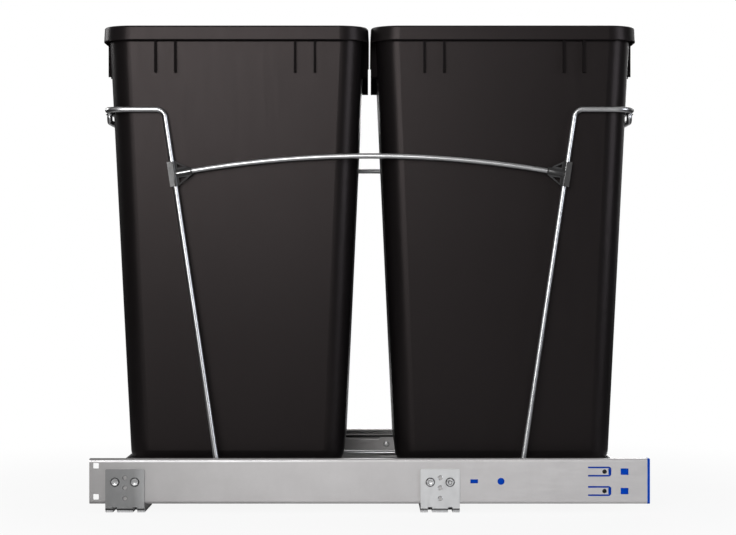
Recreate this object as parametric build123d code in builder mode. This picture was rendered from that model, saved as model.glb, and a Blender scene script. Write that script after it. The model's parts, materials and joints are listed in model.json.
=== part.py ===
"""Pull-out unit with two lift-out bins, for the floor of a base cabinet.

Frame: X runs along the slides and the unit pulls out towards -X, Y runs across, +Z is up.
The origin is on the cabinet floor under the middle of the unit.
Pieces named right are on the -Y side, and the left ones are their mirror images.
"""

from build123d import *
from math import radians, sqrt, tan
import os

os.makedirs("parts", exist_ok=True)

# ---- driving dimensions, mm ---------------------------------------------------------------

# whole unit
unit_length = 559.0  # closed, along the slides
unit_width = 365.0  # outside to outside of the slides

# slides
slide_height = 45.0
slide_depth = 12.7  # outside of the outer member to the inside of the inner one
slide_lift = 8.5  # underside of the slides above the cabinet floor
sheet = 1.2  # rolled steel of the members
member_corner = 2.0  # centreline radius of a member's corners
member_setback = 12.0  # outer member's front end to those of the members inside it
member_end_gap = 9.0  # inner members' rear ends to the soft-close end stop
outer_ball_radius = 1.8
inner_ball_radius = 1.5
race_clearance = 0.1
web_gap = 0.3  # between the webs that lie side by side
cage_sheet = 0.5
cage_length = 215.0
cage_centre_x = -12.5
ball_count = 6  # balls in each row
ball_pitch = 11.0  # within the groups at both ends of a cage
ball_row_inset = 8.0  # from a cage's end to its outermost ball
strip_margin = 0.35  # a cage's strip reaches this far past its balls
pocket_clearance = 0.15

# soft-close units
housing_length = 178.0
end_stop_thickness = 2.5
housing_clearance = 0.4
housing_margin = 0.3  # of its base past the inner balls
housing_corner = 1.5
housing_run_out = 2.0  # of the intermediate member's slot ahead of the housing
body_setback = 5.0  # of the raised body behind the front of the base
body_end_gap = 7.0
body_web_gap = 2.1  # between the raised body and the inner member's web
end_stop_corner = 1.8
groove_floor = 0.4
groove_front_gap = 1.0
groove_rear_gap = 4.0
catch_travel = 40.0
catch_length = 20.0
catch_width = 5.8
catch_setback = 12.0  # from the raised body's rear end
catch_corner = 1.0
damper_radius = 2.2
damper_rod_radius = 0.8
damper_length = 80.0
damper_end = 3.0  # solid end of the cylinder
rod_reserve = 6.0  # ahead of the rod's tip at the end of its travel
small_clearance = 0.1

# floor brackets
bracket_sheet = 2.0
bracket_width = 39.0
bracket_height = 43.2
bracket_foot = 70.0
bracket_bend = 2.5
bracket_corner = 1.5
bracket_setbacks = (35.7, 206.7)  # from the front and the rear end of the outer member
bracket_screw_pitch = 19.7
bracket_screw_z = 30.4
foot_hole_pitch = 20.0
foot_hole_radius = 2.5
foot_hole_inset = 28.0  # bracket face to the row of floor screws
foot_slot_inset = 50.4
foot_slot_length = 16.0

# screws
screw_radius = 2.4
screw_flange_radius = 4.75
screw_flange_height = 0.9
screw_hex_radius = 3.9
screw_hex_height = 1.7

# wire frame
wire_radius = 2.8
frame_width = 314.0  # between centrelines of the two sides
hoop_drop = 84.6  # from the bins' top to the hoop
hoop_clearance = 1.6  # between the hoop's end and the bin
hoop_corner = 15.0
hoop_top_x = 207.8  # where the hoop turns down into the leaning upright
upright_lean = 0.1495  # run for each unit of drop
top_bend = 9.0
foot_bend = 14.0
lower_wire_drop = 10.6  # below the hoop
lower_wire_half_width = 128.0
lower_wire_bend = 5.0
arch_drop = 47.0  # from the hoop to the arch's crown
arch_radius = 1075.0
arch_end_gap = 0.5  # to the upright, inside the connector
rail_half_spacing = 136.0
rail_overrun = 10.0  # past the raised end wires
cross_wire_overhang = 7.0  # past the rails
inner_cross_wire_offset = 76.0  # from a bin's centre
outer_cross_wire_offset = 86.0
end_wire_clearance = 4.0  # between a raised end wire and the bin
end_wire_rise = 14.0  # above the side rails' centres
end_wire_bend = 7.0

# connectors between arches and uprights
connector_length = 25.3
connector_radius = 4.1
connector_arm_radius = 3.8
connector_arm_length = 19.0
connector_web = 3.0
connector_slot = 2.2  # height of the opening that shows the arch
connector_plate = 4.7  # reach of the flat outer half from the upright's centreline
connector_slit = 1.8  # width of the opening that shows the upright

# brackets that carry the wire frame on the inner members
carrier_sheet = 2.0
carrier_length = 40.0
carrier_height = 19.0
carrier_bottom_z = 24.8
carrier_xs = (-185.0, 32.0, 205.0)
rivet_radius = 2.0
rivet_head_radius = 3.8
rivet_head_height = 1.3
rivet_pitch = 24.0

# bins
bin_top_z = 488.5
bin_length = 270.7  # across the rim, along the slides
bin_width = 321.2  # across the rim, from side to side
bin_gap = 1.2
bin_wall = 2.2
bin_floor = 2.6
rim_overhang = 6.3
rim_height = 14.7
rim_flare = 0.7  # the rim's skirt stands out this much further at its lower edge
rim_corner = 29.5
mouth_corner = 23.0
foot_corner = 21.0
bin_draft = 2.63  # degrees
bin_bottom_radius = 20.0
bin_seat_clearance = 0.3
rib_thickness = 2.0
rib_inset = 0.9  # behind the rim's outer face
rib_drop = 32.3  # below the rim
rim_edge_radius = 1.8
rib_long_offsets = (60.5, 80.5)  # ribs on the long sides, from the bin's centre
rib_end_offsets = (85.0, 105.0)  # ribs on the ends, from the bin's centre

# ---- dependent sizes ----------------------------------------------------------------------

slide_z = slide_lift + slide_height / 2
front_x = -unit_length / 2
outer_rear_x = unit_length / 2 - end_stop_thickness
outer_length = outer_rear_x - front_x
member_front_x = front_x + member_setback
member_length = outer_rear_x - member_end_gap - member_front_x
side_y = -frame_width / 2
housing_front_x = outer_rear_x - housing_length
bracket_xs = (front_x + bracket_setbacks[0], outer_rear_x - bracket_setbacks[1])

draft = tan(radians(bin_draft))
rim_bottom_z = bin_top_z - rim_height
body_length = bin_length - 2 * rim_overhang
body_width = bin_width - 2 * rim_overhang
bin_x = bin_gap / 2 + bin_length / 2
rail_z = carrier_bottom_z + carrier_sheet + wire_radius
base_z = rail_z + 2 * wire_radius


def bin_end_x(z):
    """How far the rear bin's body reaches along the slides at a height."""
    return bin_x + body_length / 2 - (rim_bottom_z - z) * draft


hoop_z = bin_top_z - hoop_drop
hoop_end_x = bin_end_x(hoop_z) + hoop_clearance + wire_radius
arch_crown_z = hoop_z - arch_drop
end_wire_x = bin_end_x(rail_z + end_wire_rise) + end_wire_clearance + wire_radius
rail_length = 2 * (end_wire_x + rail_overrun)


def outer_face(depth=0.0):
    """Plane on the right-hand slide's outer face, or that depth inside it, facing outwards."""
    origin = (0, -unit_width / 2 + depth, slide_z)
    return Plane(origin=origin, x_dir=(1, 0, 0), z_dir=(0, -1, 0))


def cross_section(x):
    """Plane across the right-hand slide: its x runs inwards from the outer face."""
    origin = (x, -unit_width / 2, slide_z)
    return Plane(origin=origin, x_dir=(0, 1, 0), z_dir=(1, 0, 0))


def finish(part, label):
    part.label = label
    export_step(part, f"parts/{label}.step")


def finish_pair(part, name):
    finish(part, f"right_{name}")
    finish(mirror(part, about=Plane.XZ), f"left_{name}")


# ---- slides -------------------------------------------------------------------------------

# outer balls run between the outer and the intermediate member, inner balls further in
outer_ball_v = slide_height / 2 - sheet - race_clearance - outer_ball_radius
outer_ball_u = 7.0
outer_flange_v = slide_height / 2 - sheet / 2
middle_flange_v = outer_ball_v - outer_ball_radius - race_clearance - sheet / 2
inner_ball_v = middle_flange_v - sheet / 2 - race_clearance - inner_ball_radius
inner_ball_u = 8.8
inner_flange_v = inner_ball_v - inner_ball_radius - race_clearance - sheet / 2
lip_angle = 60.0

outer_cage_u = sheet + web_gap + cage_sheet / 2
middle_web_u = outer_cage_u + cage_sheet / 2 + web_gap + sheet / 2
inner_cage_u = middle_web_u + sheet / 2 + web_gap + cage_sheet / 2
inner_web_u = slide_depth - sheet / 2
inner_flange_u = inner_cage_u + cage_sheet / 2 + 3 * web_gap


def lipped_channel(web_u, flange_v, ball_u, ball_v, ball_radius, x, length):
    """Rolled channel whose flanges end in lips that curl over a row of balls."""
    lip_radius = ball_radius + race_clearance + sheet / 2
    with BuildPart() as member:
        with BuildSketch(cross_section(x)):
            with BuildLine():
                FilletPolyline(
                    (ball_u, -flange_v),
                    (web_u, -flange_v),
                    (web_u, flange_v),
                    (ball_u, flange_v),
                    radius=member_corner,
                )
                CenterArc((ball_u, ball_v), lip_radius, 90, -lip_angle)
                CenterArc((ball_u, -ball_v), lip_radius, -90, lip_angle)
            trace(line_width=sheet)
        extrude(amount=length)
    return member.part


outer_blank = lipped_channel(
    sheet / 2, outer_flange_v, outer_ball_u, outer_ball_v, outer_ball_radius, front_x, outer_length
)
middle_blank = lipped_channel(
    middle_web_u,
    middle_flange_v,
    inner_ball_u,
    inner_ball_v,
    inner_ball_radius,
    member_front_x,
    member_length,
)

# windows of the outer member, from its outer face
end_window = 5.6
end_window_inset = 6.7
end_window_corner = 0.8
end_window_v = 15.5
tongue_v = 9.7
tongue_slot_half = 5.0
tongue_slot_width = 1.7
tongue_gap = 3.0  # across the tongue's free end
tongue_front_x = outer_rear_x - 59.2
tongue_rear_x = outer_rear_x - 36.0
tongue_corner = 2.0
tongue_screw_x = outer_rear_x - 42.8
tongue_hole_radius = 2.25
clip_window_x = outer_rear_x - 22.8
clip_window_length = 7.8
clip_window_height = 6.4
pin_window_x = housing_front_x + 5.3
pin_window_length = 7.6
pin_window_height = 4.1
boss_x = housing_front_x + 32.0
boss_radius = 3.5
pilot_radius = 1.1
pilot_depth = 6.0
end_window_x = front_x + end_window_inset

with BuildPart() as outer_member:
    add(outer_blank)
    with BuildSketch(outer_face()):
        with Locations((end_window_x, end_window_v), (end_window_x, -end_window_v)):
            RectangleRounded(end_window, end_window, end_window_corner)
        with Locations((clip_window_x, tongue_v), (clip_window_x, -tongue_v)):
            Rectangle(clip_window_length, clip_window_height)
        with Locations((tongue_screw_x, tongue_v), (tongue_screw_x, -tongue_v)):
            Circle(tongue_hole_radius)
        with Locations((pin_window_x, 0)):
            Rectangle(pin_window_length, pin_window_height)
        with Locations((boss_x, 0)):
            Circle(boss_radius)
        for x in bracket_xs:
            with Locations((x, bracket_screw_z - slide_z)):
                with GridLocations(bracket_screw_pitch, 0, 2, 1):
                    Circle(screw_radius)
    extrude(amount=-sheet, mode=Mode.SUBTRACT)
    for v in (tongue_v, -tongue_v):
        with BuildSketch(outer_face()):
            with BuildLine():
                FilletPolyline(
                    (tongue_front_x, v - tongue_slot_half + tongue_slot_width / 2),
                    (tongue_rear_x - tongue_slot_width / 2, v - tongue_slot_half + tongue_slot_width / 2),
                    (tongue_rear_x - tongue_slot_width / 2, v + tongue_slot_half - tongue_slot_width / 2),
                    (tongue_front_x, v + tongue_slot_half - tongue_slot_width / 2),
                    radius=tongue_corner,
                )
            trace(line_width=tongue_slot_width)
            with Locations((tongue_rear_x - tongue_gap / 2, v)):
                Rectangle(tongue_gap, 2 * (tongue_slot_half - tongue_corner))
        extrude(amount=-sheet, mode=Mode.SUBTRACT)
finish_pair(outer_member.part, "outer_member")

# the intermediate member straddles the soft-close housing with a slot open at its rear end
housing_half_height = inner_ball_v + housing_margin
middle_slot_half = housing_half_height + housing_clearance
middle_rear_x = member_front_x + member_length
with BuildPart() as intermediate_member:
    add(middle_blank)
    with BuildSketch(outer_face(middle_web_u)):
        slot_front_x = housing_front_x - housing_run_out
        with Locations(((slot_front_x + middle_rear_x) / 2, 0)):
            Rectangle(middle_rear_x - slot_front_x, 2 * middle_slot_half)
    extrude(amount=sheet, both=True, mode=Mode.SUBTRACT)
finish_pair(intermediate_member.part, "intermediate_member")

# the inner member opens outwards and carries the frame on its web
carrier_rivet_v = 5.5
with BuildPart() as inner_member:
    with BuildSketch(cross_section(member_front_x)):
        with BuildLine():
            FilletPolyline(
                (inner_flange_u, -inner_flange_v),
                (inner_web_u, -inner_flange_v),
                (inner_web_u, inner_flange_v),
                (inner_flange_u, inner_flange_v),
                radius=member_corner,
            )
        trace(line_width=sheet)
    extrude(amount=member_length)
    with BuildSketch(outer_face(slide_depth)):
        for x in carrier_xs:
            with Locations((x, carrier_rivet_v)):
                with GridLocations(rivet_pitch, 0, 2, 1):
                    Circle(rivet_radius)
    extrude(amount=sheet, mode=Mode.SUBTRACT)
finish_pair(inner_member.part, "inner_member")

# ---- balls and their cages ----------------------------------------------------------------

half_row = ball_count // 2
ball_offsets = []
for k in range(half_row):
    reach = cage_length / 2 - ball_row_inset - k * ball_pitch
    ball_offsets.extend((cage_centre_x - reach, cage_centre_x + reach))


def ball_cage(web_u, strip_u, strip_v, strip_thickness, ball_u, ball_radius):
    """Channel-shaped cage with a pocket round each ball in its two strips."""
    with BuildPart() as cage:
        with BuildSketch(cross_section(cage_centre_x - cage_length / 2)):
            web_height = 2 * strip_v + strip_thickness
            with Locations((web_u, 0)):
                Rectangle(cage_sheet, web_height)
            with Locations(((web_u + strip_u) / 2, strip_v), ((web_u + strip_u) / 2, -strip_v)):
                Rectangle(strip_u - web_u + cage_sheet, strip_thickness)
        extrude(amount=cage_length)
        ball_y = -unit_width / 2 + ball_u
        with BuildSketch(Plane.XY.offset(slide_z)):
            with Locations([(x, ball_y) for x in ball_offsets]):
                Circle(ball_radius + pocket_clearance)
        extrude(amount=slide_height / 2, both=True, mode=Mode.SUBTRACT)
    return cage.part


def ball_rows(ball_u, ball_v, ball_radius):
    """Two rows of balls, each a ball of few flat faces."""
    tip = 0.3 * ball_radius
    belt = 0.9 * ball_radius
    with BuildPart() as ball:
        for height, radius in ((-1.0, tip), (-0.5, belt), (0.5, belt), (1.0, tip)):
            with BuildSketch(Plane.XY.offset(height * ball_radius)):
                RegularPolygon(radius, 6)
        loft(ruled=True)
    ball_y = -unit_width / 2 + ball_u
    with BuildPart() as rows:
        for v in (ball_v, -ball_v):
            with Locations([(x, ball_y, slide_z + v) for x in ball_offsets]):
                add(ball.part)
    return rows.part


outer_cage_reach = outer_ball_u + outer_ball_radius + strip_margin
inner_cage_reach = inner_ball_u + inner_ball_radius + strip_margin
inner_strip = 1.0
finish_pair(
    ball_cage(outer_cage_u, outer_cage_reach, outer_ball_v, cage_sheet, outer_ball_u, outer_ball_radius),
    "outer_ball_cage",
)
finish_pair(
    ball_cage(inner_cage_u, inner_cage_reach, inner_ball_v, inner_strip, inner_ball_u, inner_ball_radius),
    "inner_ball_cage",
)
finish_pair(ball_rows(outer_ball_u, outer_ball_v, outer_ball_radius), "outer_balls")
finish_pair(ball_rows(inner_ball_u, inner_ball_v, inner_ball_radius), "inner_balls")

# ---- soft-close units ---------------------------------------------------------------------

base_front_u = sheet + small_clearance
base_rear_u = inner_flange_u - 2 * web_gap
body_half_height = inner_flange_v - sheet / 2 - housing_clearance
body_face_u = slide_depth - sheet - body_web_gap
body_front_x = housing_front_x + body_setback
body_rear_x = outer_rear_x - body_end_gap
groove_half_width = catch_width / 2 + housing_clearance
groove_floor_u = base_rear_u + groove_floor
catch_rear_x = body_rear_x - catch_setback
damper_front_x = body_front_x
damper_u = groove_floor_u + small_clearance + damper_radius
damper_rear_x = damper_front_x + damper_length
pad_rise = 0.9

with BuildPart() as damper_housing:
    with BuildSketch(outer_face(base_front_u)):
        with Locations(((housing_front_x + outer_rear_x) / 2, 0)):
            RectangleRounded(outer_rear_x - housing_front_x, 2 * housing_half_height, housing_corner)
    extrude(amount=base_front_u - base_rear_u)
    with BuildSketch(outer_face(base_rear_u)):
        with Locations(((body_front_x + body_rear_x) / 2, 0)):
            RectangleRounded(body_rear_x - body_front_x, 2 * body_half_height, housing_corner)
    extrude(amount=base_rear_u - body_face_u)
    # pads that snap into the outer member's windows
    with BuildSketch(outer_face(base_front_u)):
        with Locations((clip_window_x, tongue_v), (clip_window_x, -tongue_v)):
            Rectangle(clip_window_length - 2 * small_clearance, clip_window_height - 2 * small_clearance)
        with Locations((pin_window_x, 0)):
            Rectangle(pin_window_length - 2 * small_clearance, pin_window_height - 2 * small_clearance)
        with Locations((boss_x, 0)):
            Circle(boss_radius - small_clearance)
    extrude(amount=pad_rise)
    # end stop over the open end of the slide
    with BuildSketch(cross_section(outer_rear_x)):
        with Locations((slide_depth / 2, 0)):
            RectangleRounded(slide_depth, slide_height, end_stop_corner)
    extrude(amount=end_stop_thickness)
    # groove for the damper and the catch, open towards the inner member
    with BuildSketch(outer_face(body_face_u)):
        groove_front_x = body_front_x - groove_front_gap
        groove_rear_x = catch_rear_x + groove_rear_gap
        with Locations(((groove_front_x + groove_rear_x) / 2, 0)):
            Rectangle(groove_rear_x - groove_front_x, 2 * groove_half_width)
    extrude(amount=body_face_u - groove_floor_u, mode=Mode.SUBTRACT)
    # pilot holes behind the tongues
    with BuildSketch(outer_face(base_front_u)):
        with Locations((tongue_screw_x, tongue_v), (tongue_screw_x, -tongue_v)):
            Circle(pilot_radius)
    extrude(amount=-pilot_depth, mode=Mode.SUBTRACT)
finish_pair(damper_housing.part, "damper_housing")

rod_tip_x = damper_front_x + catch_travel + rod_reserve
damper_y = -unit_width / 2 + damper_u
with BuildPart() as damper:
    with BuildSketch(Plane(origin=(damper_front_x, damper_y, slide_z), z_dir=(1, 0, 0))):
        Circle(damper_radius)
    extrude(amount=damper_length)
    with BuildSketch(Plane(origin=(damper_rear_x, damper_y, slide_z), z_dir=(-1, 0, 0))):
        Circle(damper_rod_radius + small_clearance)
    extrude(amount=damper_length - damper_end, mode=Mode.SUBTRACT)
finish_pair(damper.part, "damper_cylinder")

with BuildPart() as damper_rod:
    with BuildSketch(Plane(origin=(rod_tip_x, damper_y, slide_z), z_dir=(1, 0, 0))):
        Circle(damper_rod_radius)
    extrude(amount=catch_rear_x - catch_length - rod_tip_x)
finish_pair(damper_rod.part, "damper_rod")

# sliding catch with a claw recess facing the inner member's pin
claw_length = 6.0
claw_depth = 1.4
with BuildPart() as catch:
    with BuildSketch(outer_face(body_face_u)):
        with Locations((catch_rear_x - catch_length / 2, 0)):
            RectangleRounded(catch_length, catch_width, catch_corner)
    extrude(amount=body_face_u - groove_floor_u - small_clearance)
    with BuildSketch(outer_face(body_face_u)):
        with Locations((catch_rear_x - catch_length / 2, 0)):
            Rectangle(claw_length, catch_width)
    extrude(amount=claw_depth, mode=Mode.SUBTRACT)
finish_pair(catch.part, "closing_catch")

# pin on the inner member that the catch takes hold of
pin_radius = 2.0
pin_end_u = body_face_u + web_gap
with BuildPart() as catch_pin:
    with BuildSketch(outer_face(slide_depth - sheet)):
        with Locations((catch_rear_x - catch_length / 2, 0)):
            Circle(pin_radius)
    extrude(amount=slide_depth - sheet - pin_end_u)
finish_pair(catch_pin.part, "catch_pin")

# screws through the tongues, with a cross recess
recess_length = 2.4
recess_width = 0.6
recess_depth = 0.7
screw_tip_gap = 0.5  # to the end of its pilot hole
with BuildPart() as damper_screws:
    with BuildSketch(outer_face(small_clearance)):
        with Locations((tongue_screw_x, tongue_v), (tongue_screw_x, -tongue_v)):
            Circle(tongue_hole_radius)
    extrude(amount=small_clearance - base_front_u)
    with BuildSketch(outer_face(base_front_u)):
        with Locations((tongue_screw_x, tongue_v), (tongue_screw_x, -tongue_v)):
            Circle(pilot_radius)
    extrude(amount=screw_tip_gap - pilot_depth)
    with BuildSketch(outer_face(small_clearance)):
        with Locations((tongue_screw_x, tongue_v), (tongue_screw_x, -tongue_v)):
            Rectangle(recess_length, recess_width)
            Rectangle(recess_width, recess_length)
    extrude(amount=-recess_depth, mode=Mode.SUBTRACT)
finish_pair(damper_screws.part, "damper_screws")

# ---- floor brackets -----------------------------------------------------------------------

notch_offset = 10.1
notch_width = 4.4
notch_height = 5.5
notch_depth = 24.0
dimple_radius = 2.2
dimple_zs = (34.8, 24.8, 14.2)
plate_u = -bracket_sheet / 2


def floor_bracket(x):
    with BuildPart() as bracket:
        with BuildSketch(cross_section(x - bracket_width / 2)):
            with BuildLine():
                FilletPolyline(
                    (plate_u, bracket_height - slide_z),
                    (plate_u, bracket_sheet / 2 - slide_z),
                    (bracket_foot - bracket_sheet, bracket_sheet / 2 - slide_z),
                    radius=bracket_bend,
                )
            trace(line_width=bracket_sheet)
        extrude(amount=bracket_width)
        top = bracket.edges().filter_by(Axis.Y).group_by(Axis.Z)[-1]
        fillet(top, bracket_corner)
        foot_end = bracket.edges().filter_by(Axis.Z).group_by(Axis.Y)[-1]
        fillet(foot_end, bracket_corner)
        with BuildSketch(outer_face(-bracket_sheet)):
            with Locations((x, bracket_screw_z - slide_z)):
                with GridLocations(bracket_screw_pitch, 0, 2, 1):
                    Circle(screw_radius + small_clearance)
            with Locations([(x, z - slide_z) for z in dimple_zs]):
                Circle(dimple_radius)
            with Locations((x, notch_height / 2 - slide_z)):
                with GridLocations(2 * notch_offset, 0, 2, 1):
                    Rectangle(notch_width, notch_height)
        extrude(amount=-notch_depth, mode=Mode.SUBTRACT)
        # round holes and a slot for the cabinet floor's screws
        with BuildSketch(Plane.XY):
            with Locations((x, -unit_width / 2 + foot_hole_inset)):
                with GridLocations(foot_hole_pitch, 0, 2, 1):
                    Circle(foot_hole_radius)
            with Locations((x, -unit_width / 2 + foot_slot_inset)):
                SlotOverall(foot_slot_length, 2 * foot_hole_radius)
        extrude(amount=bracket_sheet, mode=Mode.SUBTRACT)
    return bracket.part


finish_pair(floor_bracket(bracket_xs[0]), "front_bracket")
finish_pair(floor_bracket(bracket_xs[1]), "rear_bracket")

# washer-head hex screws from the brackets into the slides
with BuildPart() as bracket_screws:
    screw_points = []
    for x in bracket_xs:
        for side in (-1, 1):
            screw_points.append((x + side * bracket_screw_pitch / 2, bracket_screw_z - slide_z))
    with BuildSketch(outer_face(-bracket_sheet)):
        with Locations(screw_points):
            Circle(screw_flange_radius)
    extrude(amount=screw_flange_height)
    with BuildSketch(outer_face(-bracket_sheet - screw_flange_height)):
        with Locations(screw_points):
            RegularPolygon(screw_hex_radius, 6)
    extrude(amount=screw_hex_height)
    with BuildSketch(outer_face(-bracket_sheet)):
        with Locations(screw_points):
            Circle(screw_radius)
    extrude(amount=-bracket_sheet - sheet)
finish_pair(bracket_screws.part, "bracket_screws")

# ---- wire frame ---------------------------------------------------------------------------


def bent_wire(points, bends):
    """Round wire along straight runs joined by bends."""
    with BuildPart() as wire:
        with BuildLine() as route:
            FilletPolyline(*points, radius=bends)
        with BuildSketch(Plane(origin=route.line @ 0, z_dir=route.line % 0)):
            Circle(wire_radius)
        sweep()
    return wire.part


foot_x = hoop_top_x - upright_lean * (hoop_z - base_z)

# one half of the front loop, from the middle of its foot to the middle of its hoop
hoop_half = bent_wire(
    (
        (-foot_x, 0, base_z),
        (-foot_x, side_y, base_z),
        (-hoop_top_x, side_y, hoop_z),
        (-hoop_end_x, side_y, hoop_z),
        (-hoop_end_x, 0, hoop_z),
    ),
    (foot_bend, top_bend, hoop_corner),
)
with BuildPart() as front_hoop:
    add(hoop_half)
    mirror(about=Plane.XZ)
finish(front_hoop.part, "front_hoop")
finish(mirror(front_hoop.part, about=Plane.YZ), "rear_hoop")

# staple-shaped wire welded under the end of each hoop
lower_wire_z = hoop_z - lower_wire_drop
lower_half = bent_wire(
    (
        (-hoop_end_x, 0, lower_wire_z),
        (-hoop_end_x, -lower_wire_half_width, lower_wire_z),
        (-hoop_end_x, -lower_wire_half_width, hoop_z - wire_radius),
    ),
    (lower_wire_bend,),
)
with BuildPart() as front_lower_wire:
    add(lower_half)
    mirror(about=Plane.XZ)
finish(front_lower_wire.part, "front_lower_wire")
finish(mirror(front_lower_wire.part, about=Plane.YZ), "rear_lower_wire")

# the base: two rails, cross wires on them and a raised wire at each end
with BuildPart() as rail:
    with BuildSketch(Plane(origin=(-rail_length / 2, -rail_half_spacing, rail_z), z_dir=(1, 0, 0))):
        Circle(wire_radius)
    extrude(amount=rail_length)
finish_pair(rail.part, "rail")

cross_wire_reach = rail_half_spacing + cross_wire_overhang
with BuildPart() as cross_wires:
    for side in (-1, 1):
        for x in (bin_x - inner_cross_wire_offset, bin_x + outer_cross_wire_offset):
            with BuildSketch(Plane(origin=(side * x, -cross_wire_reach, base_z), z_dir=(0, 1, 0))):
                Circle(wire_radius)
            extrude(amount=2 * cross_wire_reach)
finish(cross_wires.part, "cross_wires")

end_half = bent_wire(
    (
        (-end_wire_x, 0, rail_z + end_wire_rise),
        (-end_wire_x, -rail_half_spacing, rail_z + end_wire_rise),
        (-end_wire_x, -rail_half_spacing, rail_z + wire_radius),
    ),
    (end_wire_bend,),
)
with BuildPart() as front_end_wire:
    add(end_half)
    mirror(about=Plane.XZ)
finish(front_end_wire.part, "front_end_wire")
finish(mirror(front_end_wire.part, about=Plane.YZ), "rear_end_wire")

# ---- arches and their connectors ----------------------------------------------------------


def arch_height(x):
    return arch_crown_z - arch_radius + sqrt(arch_radius**2 - x**2)


def upright_x(z):
    return hoop_top_x - upright_lean * (hoop_z - z)


joint_z = arch_height(upright_x(arch_crown_z))
joint_z = arch_height(upright_x(joint_z))
joint_x = upright_x(joint_z)
arch_end_x = joint_x - wire_radius - arch_end_gap
side_plane = Plane(origin=(0, side_y, 0), x_dir=(1, 0, 0), z_dir=(0, -1, 0))

with BuildPart() as arch:
    with BuildLine(side_plane) as arch_line:
        ThreePointArc(
            (-arch_end_x, arch_height(arch_end_x)),
            (0, arch_crown_z),
            (arch_end_x, arch_height(arch_end_x)),
        )
    with BuildSketch(Plane(origin=arch_line.line @ 0, z_dir=arch_line.line % 0)):
        Circle(wire_radius)
    sweep()
finish_pair(arch.part, "arch")

arch_slope = joint_x / sqrt(arch_radius**2 - joint_x**2)
half_sleeve = connector_length / 2


def connector_point(run, rise):
    """Point in the plane of the right-hand arch, from where its line meets the front upright."""
    return (-joint_x + run, joint_z + rise)


sleeve_run = upright_lean * half_sleeve
upper_strut_end = connector_point(12.8, 7.9)
lower_strut_end = connector_point(connector_arm_length - 0.5, -0.5)
upper_window = (connector_point(3.4, 10.5), connector_point(3.9, 6.2), connector_point(10.4, 7.4))
lower_window = (connector_point(5.4, -3.6), connector_point(13.4, -2.6), connector_point(6.3, -9.4))
slot_run = (3.0, connector_arm_length - 2.0)
sleeve_plane = Plane(origin=(-joint_x, side_y, joint_z), x_dir=(0, 1, 0), z_dir=(-upright_lean, 0, 1))
with BuildPart() as connector:
    # sleeve round the upright, flat on its outer half and slit beside that to show the wire
    with BuildSketch(sleeve_plane):
        Circle(connector_radius)
        with Locations((-connector_plate / 2, connector_plate / 2)):
            Rectangle(connector_plate, connector_plate)
        with Locations((-connector_plate / 2, -connector_slit / 2)):
            Rectangle(connector_plate, connector_slit, mode=Mode.SUBTRACT)
    extrude(amount=half_sleeve, both=True)
    # arm round the end of the arch
    with BuildSketch(
        Plane(origin=(-joint_x, side_y, joint_z), x_dir=(0, 1, 0), z_dir=(1, 0, arch_slope))
    ):
        Circle(connector_arm_radius)
    extrude(amount=connector_arm_length)
    # struts above and below the arm, each round a window
    with BuildSketch(side_plane):
        with BuildLine():
            Polyline(
                connector_point(-sleeve_run, half_sleeve),
                connector_point(connector_radius - sleeve_run, half_sleeve),
                upper_strut_end,
                lower_strut_end,
                connector_point(connector_radius, -half_sleeve),
                connector_point(sleeve_run, -half_sleeve),
                close=True,
            )
        make_face()
        for window in (upper_window, lower_window):
            with BuildLine():
                Polyline(*window, close=True)
            make_face(mode=Mode.SUBTRACT)
    extrude(amount=connector_web / 2, both=True)
    # slot in the arm's face that shows the arch
    with BuildSketch(side_plane):
        with BuildLine():
            Polyline(
                connector_point(slot_run[0], slot_run[0] * arch_slope - connector_slot / 2),
                connector_point(slot_run[1], slot_run[1] * arch_slope - connector_slot / 2),
                connector_point(slot_run[1], slot_run[1] * arch_slope + connector_slot / 2),
                connector_point(slot_run[0], slot_run[0] * arch_slope + connector_slot / 2),
                close=True,
            )
        make_face()
    extrude(amount=connector_radius, mode=Mode.SUBTRACT)
    # bores for the two wires
    add(front_hoop.part, mode=Mode.SUBTRACT)
    add(arch.part, mode=Mode.SUBTRACT)
finish_pair(connector.part, "front_connector")
finish_pair(mirror(connector.part, about=Plane.YZ), "rear_connector")

# ---- carriers on the inner members --------------------------------------------------------

carrier_web_u = slide_depth + carrier_sheet / 2
carrier_leg_v = carrier_bottom_z + carrier_sheet / 2 - slide_z
carrier_reach_u = unit_width / 2 - rail_half_spacing + 2 * wire_radius
rivet_points = []
for x in carrier_xs:
    for side in (-1, 1):
        rivet_points.append((x + side * rivet_pitch / 2, carrier_rivet_v))

with BuildPart() as carriers:
    for x in carrier_xs:
        with BuildSketch(cross_section(x - carrier_length / 2)):
            with BuildLine():
                FilletPolyline(
                    (carrier_web_u, carrier_leg_v + carrier_height),
                    (carrier_web_u, carrier_leg_v),
                    (carrier_reach_u, carrier_leg_v),
                    radius=carrier_sheet,
                )
            trace(line_width=carrier_sheet)
        extrude(amount=carrier_length)
    with BuildSketch(outer_face(slide_depth)):
        with Locations(rivet_points):
            Circle(rivet_radius)
    extrude(amount=-carrier_sheet, mode=Mode.SUBTRACT)
finish_pair(carriers.part, "frame_carriers")

with BuildPart() as rivets:
    with BuildSketch(outer_face(slide_depth - sheet)):
        with Locations(rivet_points):
            Circle(rivet_radius)
    extrude(amount=-sheet - carrier_sheet)
    with BuildSketch(outer_face(slide_depth + carrier_sheet)):
        with Locations(rivet_points):
            Circle(rivet_head_radius)
    extrude(amount=-rivet_head_height)
finish_pair(rivets.part, "carrier_rivets")

# ---- bins ---------------------------------------------------------------------------------

bin_bottom_z = base_z + wire_radius + bin_seat_clearance
rib_bottom_z = rim_bottom_z - rib_drop
mouth_spread = 2 * rim_height * draft
foot_taper = 2 * (rim_bottom_z - bin_bottom_z) * draft


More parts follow.
